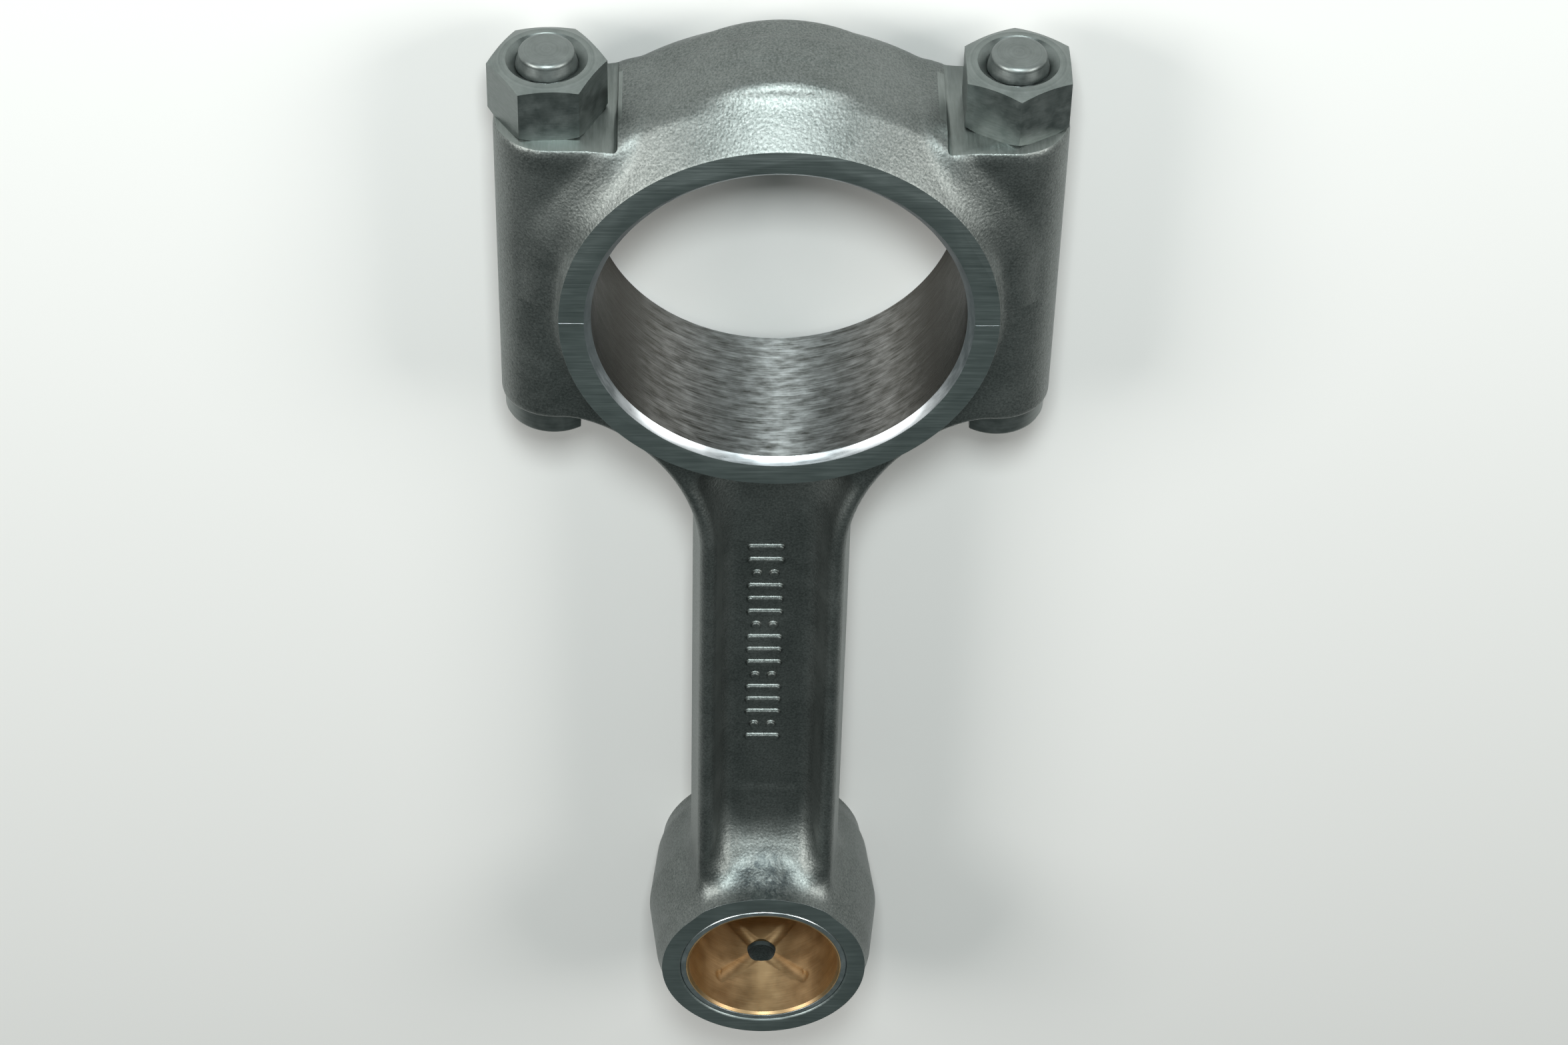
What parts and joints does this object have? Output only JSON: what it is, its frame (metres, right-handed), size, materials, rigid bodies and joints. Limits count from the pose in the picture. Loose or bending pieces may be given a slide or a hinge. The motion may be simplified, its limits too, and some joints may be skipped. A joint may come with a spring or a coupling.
{
  "type": "connecting rod",
  "caption": "Forged H-beam connecting rod with a split big end held by cap bolts and nuts, and a bronze-lined small-end bush.",
  "frame": {"origin": "centre of the big-end housing bore, on the middle plane of the rod", "axes": "+Z along both bores, +Y from the small end towards the cap, +X across the two cap bolts"},
  "size_m": [0.1064, 0.2615, 0.0364],
  "materials": {
    "forged_steel": "shot-peened forging, machined faces",
    "forged_steel_cap": "shot-peened forging, machined faces",
    "bolt_steel": "turned, satin",
    "nut_steel": "phosphated, satin",
    "bush_steel": "turned",
    "bush_bronze": "bored, satin"
  },
  "bodies": {
    "rod": {"rod_forging": "forged_steel", "left_bolt": "bolt_steel", "right_bolt": "bolt_steel", "bush_steel_back": "bush_steel", "bush_bronze_lining": "bush_bronze"},
    "cap": {"bearing_cap": "forged_steel_cap"},
    "nut_on_left": {"left_nut": "nut_steel"},
    "nut_on_right": {"right_nut": "nut_steel"}
  },
  "joints": [
    {"name": "cap_lift", "type": "slide", "parent": "rod", "child": "cap", "axis": [0, 1, 0], "range_m": [0, 0.0144]},
    {"name": "left_nut_turn", "type": "hinge", "parent": "cap", "child": "nut_on_left", "pos_m": [-0.0427, 0.0365, 0], "axis": [0, 1, 0], "range_deg": [0, 3456]},
    {"name": "right_nut_turn", "type": "hinge", "parent": "cap", "child": "nut_on_right", "pos_m": [0.0427, 0.0365, 0], "axis": [0, 1, 0], "range_deg": [0, 3456]}
  ],
  "couplings": [
    {"joint": "left_nut_turn", "follows": "cap_lift", "rad_per_m": 4188.8},
    {"joint": "right_nut_turn", "follows": "cap_lift", "rad_per_m": 4188.8}
  ]
}
